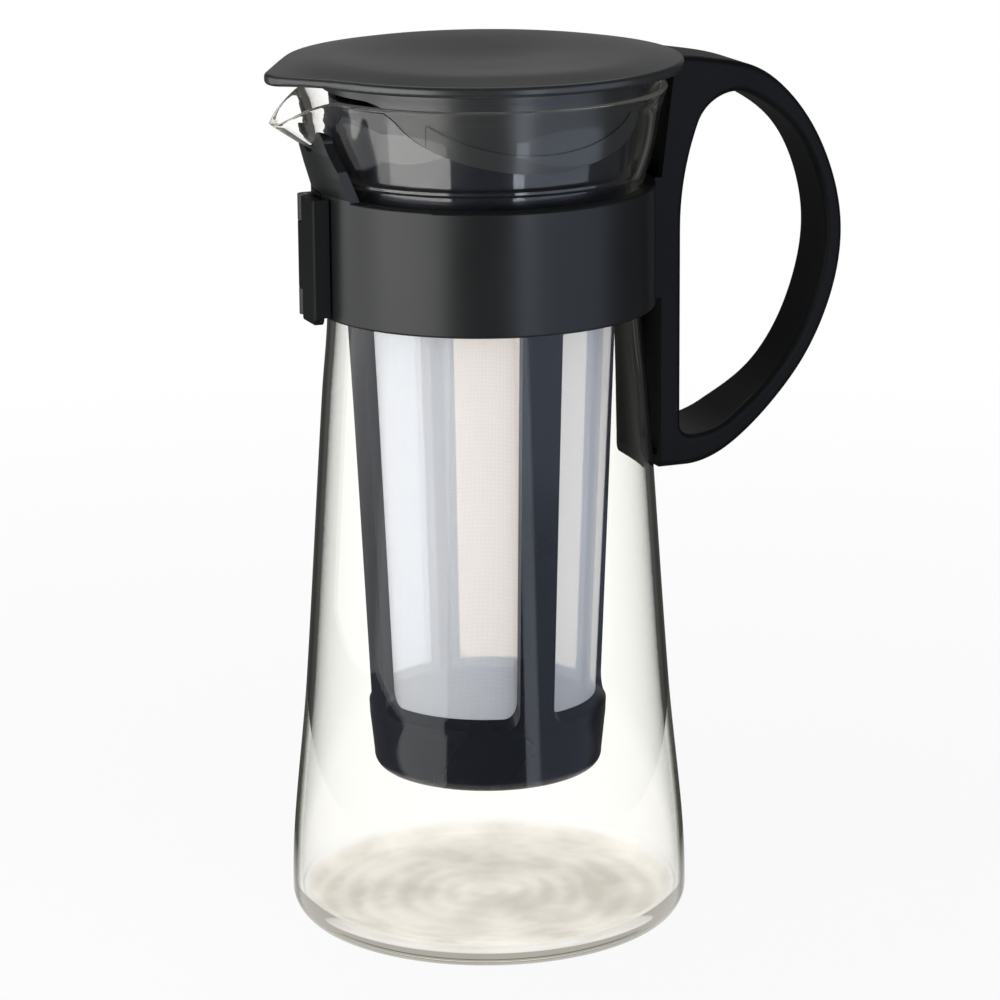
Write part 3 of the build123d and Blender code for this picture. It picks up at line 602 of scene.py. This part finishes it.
def satin_plastic(name, dark, light, roughness, specular, grain_depth=0.12):
    """A moulded plastic: two near tones in broad patches, satin grain in the bump."""
    material, tree, surface = new_material(name)
    place = tree.nodes.new("ShaderNodeTexCoord")
    moulded = tree.nodes.new("ShaderNodeGroup")
    moulded.node_tree = grain
    tree.links.new(place.outputs["Object"], moulded.inputs["Vector"])
    patches = moulded.outputs["Patches"]
    tree.links.new(mix_colours(tree, patches, dark, light), surface.inputs["Base Color"])
    gloss = spread(tree, patches, 0, 1, roughness - 0.03, roughness + 0.03)
    tree.links.new(gloss, surface.inputs["Roughness"])
    surface.inputs["Specular IOR Level"].default_value = specular
    bump = new_node(tree, "ShaderNodeBump", Strength=grain_depth, Distance=0.00006)
    tree.links.new(moulded.outputs["Height"], bump.inputs["Height"])
    tree.links.new(bump.outputs["Normal"], surface.inputs["Normal"])
    return material


charcoal = satin_plastic(
    "charcoal_satin", (0.0105, 0.0115, 0.0115), (0.0135, 0.0145, 0.0145), 0.34, 0.55
)
lid_plastic = satin_plastic(
    "lid_satin", (0.0205, 0.022, 0.022), (0.0245, 0.026, 0.026), 0.3, 1.0, 0.04
)
black = satin_plastic(
    "black_satin", (0.0055, 0.006, 0.006), (0.0078, 0.0083, 0.0085), 0.4, 0.16
)
slate = satin_plastic(
    "slate_satin", (0.0058, 0.0074, 0.0135), (0.0078, 0.0096, 0.0170), 0.3, 0.4, 0.03
)
print("four plastics")

# %% [markdown]
# The funnel above the filter's cage comes from a polished part of the tool, so that the
# grounds slide down it. A coat that sets in with height gives it its mirror shine, and a
# trace of it stays on the ribs and the cup.

# %% Polish the funnel
FUNNEL_FOOT, FUNNEL_START = 0.166, 0.174
CAGE_COAT = 0.12
tree = slate.node_tree
polished = tree.nodes["Principled BSDF"]
height = tree.nodes.new("ShaderNodeSeparateXYZ")
tree.links.new(tree.nodes["Texture Coordinate"].outputs["Object"], height.inputs[0])
coat = spread(tree, height.outputs["Z"], FUNNEL_FOOT, FUNNEL_START, CAGE_COAT, 1.0)
tree.links.new(coat, polished.inputs["Coat Weight"])
polished.inputs["Coat IOR"].default_value = 1.85
polished.inputs["Coat Roughness"].default_value = 0.06
print("funnel polished above", FUNNEL_START, "m")


# %% Dress the mouldings
def dress(node, material):
    """Give every slot of a construction part one material."""
    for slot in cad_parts[node].material_slots:
        slot.material = material
    print(node, "is now", material.name)


DRESS = {
    "neck_band": charcoal,
    "clasp": black,
    "lid": lid_plastic,
    "handle": black,
    "filter_frame": slate,
}
for node, material in DRESS.items():
    dress(node, material)

# %% [markdown]
# ## Clasp pin
# The pin is a length of drawn stainless wire. Drawing leaves fine lines along the wire and
# slow changes in gloss, so the noise is stretched along the pin's own direction.

# %% Drawn steel
steel, tree, surface = new_material("drawn_steel")
place = tree.nodes.new("ShaderNodeTexCoord")
along = tree.nodes.new("ShaderNodeMapping")
along.inputs["Scale"].default_value = (1, 1, 0.03)
tree.links.new(place.outputs["Object"], along.inputs["Vector"])
lines = noise(tree, along.outputs["Vector"], 9000, 3.0)
sheen = mix_colours(tree, lines, (0.5, 0.5, 0.49), (0.66, 0.66, 0.65))
tree.links.new(sheen, surface.inputs["Base Color"])
tree.links.new(spread(tree, lines, 0.3, 0.7, 0.22, 0.38), surface.inputs["Roughness"])
surface.inputs["Metallic"].default_value = 1.0
dress("clasp_pin", steel)

# %% [markdown]
# ## Clear glass
# Borosilicate is colourless through its thickness and olive along it: where the eye looks
# along the wall, at the outline, the path through the glass is ten times longer. Layer
# Weight's facing value tells how steeply the surface is seen, so a ramp on it turns the
# clear wall into olive and then near black in the last few degrees. The olive is the
# glass's own; the near black is painted shade, standing in for the dark room that the wall
# mirrors at its outline. Only the outer face of an upright wall takes this tint and painted
# shade, because the inner face would darken it twice.


# %% Tint of the wall and painted shade at its outline
def ramp(tree, value, stops):
    """Colour ramp from (position, colour) stops."""
    node = tree.nodes.new("ShaderNodeValToRGB")
    tree.links.new(value, node.inputs["Fac"])
    band = node.color_ramp
    while len(band.elements) < len(stops):
        band.elements.new(0.5)
    for element, (position, colour) in zip(band.elements, stops):
        element.position = position
        element.color = (*colour, 1)
    return node.outputs["Color"]


CLEAR = (1.0, 0.999, 0.982)
# Clear, then olive, then near black: the near-black stops are painted shade for the outline.
OUTLINE_AND_PAINTED_SHADE = [
    (0.0, CLEAR),
    (0.73, (1.0, 0.995, 0.95)),
    (0.77, (0.3, 0.29, 0.2)),
    (0.81, (0.02, 0.019, 0.012)),
    (1.0, (0.006, 0.006, 0.004)),
]
jug_glass, tree, surface = new_material("jug_glass")
surface.inputs["Transmission Weight"].default_value = 1.0
surface.inputs["Roughness"].default_value = 0.0
surface.inputs["IOR"].default_value = 1.38
surface.inputs["Specular Tint"].default_value = (0.5, 0.5, 0.5, 1)
steep = new_node(tree, "ShaderNodeLayerWeight", Blend=0.5)
olive_and_painted_outline = ramp(tree, steep.outputs["Facing"], OUTLINE_AND_PAINTED_SHADE)
place = tree.nodes.new("ShaderNodeTexCoord")
normal = tree.nodes.new("ShaderNodeSeparateXYZ")
tree.links.new(place.outputs["Normal"], normal.inputs[0])
upright = spread(tree, maths(tree, "ABSOLUTE", normal.outputs["Z"]), 0.25, 0.7, 1.0, 0.12)
flat = new_node(tree, "ShaderNodeVectorMath", operation="MULTIPLY")
flat.inputs[1].default_value = (1, 1, 0)
tree.links.new(place.outputs["Object"], flat.inputs[0])
outward = new_node(tree, "ShaderNodeVectorMath", operation="DOT_PRODUCT")
tree.links.new(place.outputs["Normal"], outward.inputs[0])
tree.links.new(flat.outputs["Vector"], outward.inputs[1])
outer_face = maths(tree, "GREATER_THAN", outward.outputs["Value"], 0.0)
# The painted outline shade goes only on the outer face of upright walls; elsewhere the wall
# stays clear.
glass_tint_and_painted_shade = mix_colours(tree, maths(tree, "MULTIPLY", upright, outer_face), CLEAR, olive_and_painted_outline)
print("wall of", jug_glass.name, "tinted")

# %% [markdown]
# The thick bottom is tinted warm, in broad lighter and darker patches, with the uneven
# rings that the turning mould leaves: a sine of the distance from the axis, bent by noise.

# %% Tint of the foot
RING_PITCH = 1050  # radians of the sine per metre
RING_WOBBLE = 9.0
FOOT_LIGHT, FOOT_DARK = (1.0, 0.965, 0.885), (0.73, 0.685, 0.61)
spot = tree.nodes.new("ShaderNodeSeparateXYZ")
tree.links.new(place.outputs["Object"], spot.inputs[0])
from_axis = new_node(tree, "ShaderNodeVectorMath", operation="LENGTH")
tree.links.new(flat.outputs["Vector"], from_axis.inputs[0])
wobble = noise(tree, place.outputs["Object"], 55, 3.0)
rings = maths(tree, "MULTIPLY", from_axis.outputs["Value"], RING_PITCH)
rings = maths(tree, "ADD", rings, maths(tree, "MULTIPLY", wobble, RING_WOBBLE))
rings = maths(tree, "MULTIPLY", maths(tree, "SINE", rings), 0.05)
patch = spread(tree, maths(tree, "ADD", wobble, rings), 0.38, 0.66)
foot_tint = mix_colours(tree, patch, FOOT_LIGHT, FOOT_DARK)
in_foot = spread(tree, spot.outputs["Z"], 0.0036, 0.006, 1.0, 0.0)
tint = mix_colours(tree, in_foot, glass_tint_and_painted_shade, foot_tint)
tree.links.new(tint, surface.inputs["Base Color"])
print("rings every", round(2 * pi / RING_PITCH / MM, 1), "mm")

# %% [markdown]
# Two helps keep clear glass honest in a short render. Lamps shine through it as through
# nothing, or it would cast a solid black shadow. And a thick foot or a rounded rim guides
# light round and round inside, longer than a path is followed, so a path that was mirrored
# twice in the glass ends in a plain glow instead of in black.

# %% Light in the glass
GUIDED_COLOUR = (1.0, 0.97, 0.88, 1)
FOOT_GLOW, WALL_GLOW, SPOUT_GLOW = 0.42, 0.08, 0.8
path = tree.nodes.new("ShaderNodeLightPath")
lamp_ray = maths(tree, "MAXIMUM", path.outputs["Is Shadow Ray"], path.outputs["Is Diffuse Ray"])
way_through = tree.nodes.new("ShaderNodeBsdfTransparent")
clear = mix_shaders(tree, lamp_ray, surface.outputs[0], way_through.outputs[0])
guided = tree.nodes.new("ShaderNodeEmission")
guided.inputs["Color"].default_value = GUIDED_COLOUR
near_foot = spread(tree, spot.outputs["Z"], 0.012, 0.03, FOOT_GLOW, WALL_GLOW)
near_spout = spread(tree, spot.outputs["X"], -0.045, -0.042, SPOUT_GLOW, 0.0)
tree.links.new(maths(tree, "MAXIMUM", near_foot, near_spout), guided.inputs["Strength"])
deep = maths(tree, "GREATER_THAN", path.outputs["Glossy Depth"], 1.5)
face = mix_shaders(tree, deep, clear, guided.outputs[0])
tree.links.new(face, tree.nodes["Material Output"].inputs["Surface"])
glass.data.materials.append(jug_glass)
print("glass dressed in", jug_glass.name)

# %% [markdown]
# ## Woven cloth
# Polyester filter cloth is a plain weave: each thread passes over one neighbour and under
# the next. Two sine waves, one along each thread direction, give that, and where both are
# low there is a pore that light passes straight through. The cloth is read as an angle
# and a height, so the threads run round and along the cage.

# %% Weave group
WEAVE_IN = [
    ("Around", "NodeSocketFloat", 0.0),
    ("Up", "NodeSocketFloat", 0.0),
    ("Pitch", "NodeSocketFloat", 0.00032),
]
WEAVE_OUT = [("Height", "NodeSocketFloat"), ("Cover", "NodeSocketFloat")]
weave, way_in, way_out = new_group("plain_weave", WEAVE_IN, WEAVE_OUT)
waves = []
for title in ("Around", "Up"):
    turns = maths(weave, "DIVIDE", way_in.outputs[title], way_in.outputs["Pitch"])
    waves.append(maths(weave, "SINE", maths(weave, "MULTIPLY", turns, pi)))
crossing = maths(weave, "MULTIPLY", waves[0], waves[1])
threads = [maths(weave, "ABSOLUTE", wave) for wave in waves]
cover = maths(weave, "MAXIMUM", threads[0], threads[1])
raised = maths(weave, "ADD", maths(weave, "MULTIPLY", crossing, 0.5), cover)
weave.links.new(raised, way_out.inputs["Height"])
weave.links.new(cover, way_out.inputs["Cover"])
print("group plain_weave ready")


# %% Cloth material
CAGE_R = 0.03


def cloth_material(name):
    """Woven cloth: the material, its tree, its shader, its axes and the angle round Z."""
    material, tree, surface = new_material(name)
    place = tree.nodes.new("ShaderNodeTexCoord")
    axes = tree.nodes.new("ShaderNodeSeparateXYZ")
    tree.links.new(place.outputs["Object"], axes.inputs[0])
    angle = maths(tree, "ARCTAN2", axes.outputs["Y"], axes.outputs["X"])
    woven = tree.nodes.new("ShaderNodeGroup")
    woven.node_tree = weave
    tree.links.new(maths(tree, "MULTIPLY", angle, CAGE_R), woven.inputs["Around"])
    tree.links.new(axes.outputs["Z"], woven.inputs["Up"])
    cover = woven.outputs["Cover"]
    tone = mix_colours(tree, cover, (0.58, 0.60, 0.645), (0.71, 0.73, 0.77))
    tree.links.new(tone, surface.inputs["Base Color"])
    tree.links.new(spread(tree, cover, 0.5, 1.0, 0.4, 0.55), surface.inputs["Alpha"])
    surface.inputs["Roughness"].default_value = 0.55
    surface.inputs["Specular IOR Level"].default_value = 0.3
    bump = new_node(tree, "ShaderNodeBump", Strength=0.3, Distance=0.00005)
    tree.links.new(woven.outputs["Height"], bump.inputs["Height"])
    tree.links.new(bump.outputs["Normal"], surface.inputs["Normal"])
    return material, tree, surface, axes, angle


filter_cloth = cloth_material("filter_cloth")[0]
print("built", filter_cloth.name)

# %% [markdown]
# Daylight comes through the cloth from outside, so its inner face glows softly in every
# window and stays dark where a rib or the cup covers it. The ribs stand a quarter turn
# apart, which makes the mask a share of the quarter turn. The light is cool from one side,
# cream from behind and plain from the other.

# %% Light through the windows
RIB_CLOCKING = radians(2.5)
WINDOW_SHARE, WINDOW_SILL = 0.403, 0.055
COOL, CREAM, PLAIN = (0.55, 0.59, 0.67), (1.0, 0.73, 0.47), (0.75, 0.65, 0.5)
DAYLIGHT = [(0.45, COOL), (0.5, CREAM), (0.78, CREAM), (0.87, PLAIN)]
DAYLIGHT_LEVEL = 1.85
backlit_cloth, tree, surface, axes, angle = cloth_material("filter_cloth_inside")
quarters = maths(tree, "DIVIDE", maths(tree, "SUBTRACT", angle, RIB_CLOCKING), pi / 2)
off_centre = maths(tree, "SUBTRACT", maths(tree, "FRACT", quarters), 0.5)
off_centre = maths(tree, "ABSOLUTE", off_centre)
window = spread(tree, off_centre, WINDOW_SHARE - 0.005, WINDOW_SHARE + 0.005, 1.0, 0.0)
sill = spread(tree, axes.outputs["Z"], WINDOW_SILL - 0.5 * MM, WINDOW_SILL + 0.5 * MM)
window = maths(tree, "MULTIPLY", window, sill)
across = spread(tree, axes.outputs["X"], -CAGE_R, CAGE_R)
tree.links.new(ramp(tree, across, DAYLIGHT), surface.inputs["Emission Color"])
facing = tree.nodes.new("ShaderNodeNewGeometry")
daylight = spread(tree, facing.outputs["Backfacing"], 0, 1, DAYLIGHT_LEVEL, 0.0)
tree.links.new(maths(tree, "MULTIPLY", daylight, window), surface.inputs["Emission Strength"])
print("windows glow above", WINDOW_SILL, "m")

# %% Dress the cloths
for cloth in cloths:
    cloth.data.materials.append(filter_cloth)
    cloth.data.materials.append(backlit_cloth)
    for face in cloth.data.polygons:
        out = Vector((face.center.x, face.center.y, 0)).normalized()
        face.material_index = 1 if face.normal.dot(out) < -0.5 else 0
print(len(cloths), "cloths dressed in", filter_cloth.name)
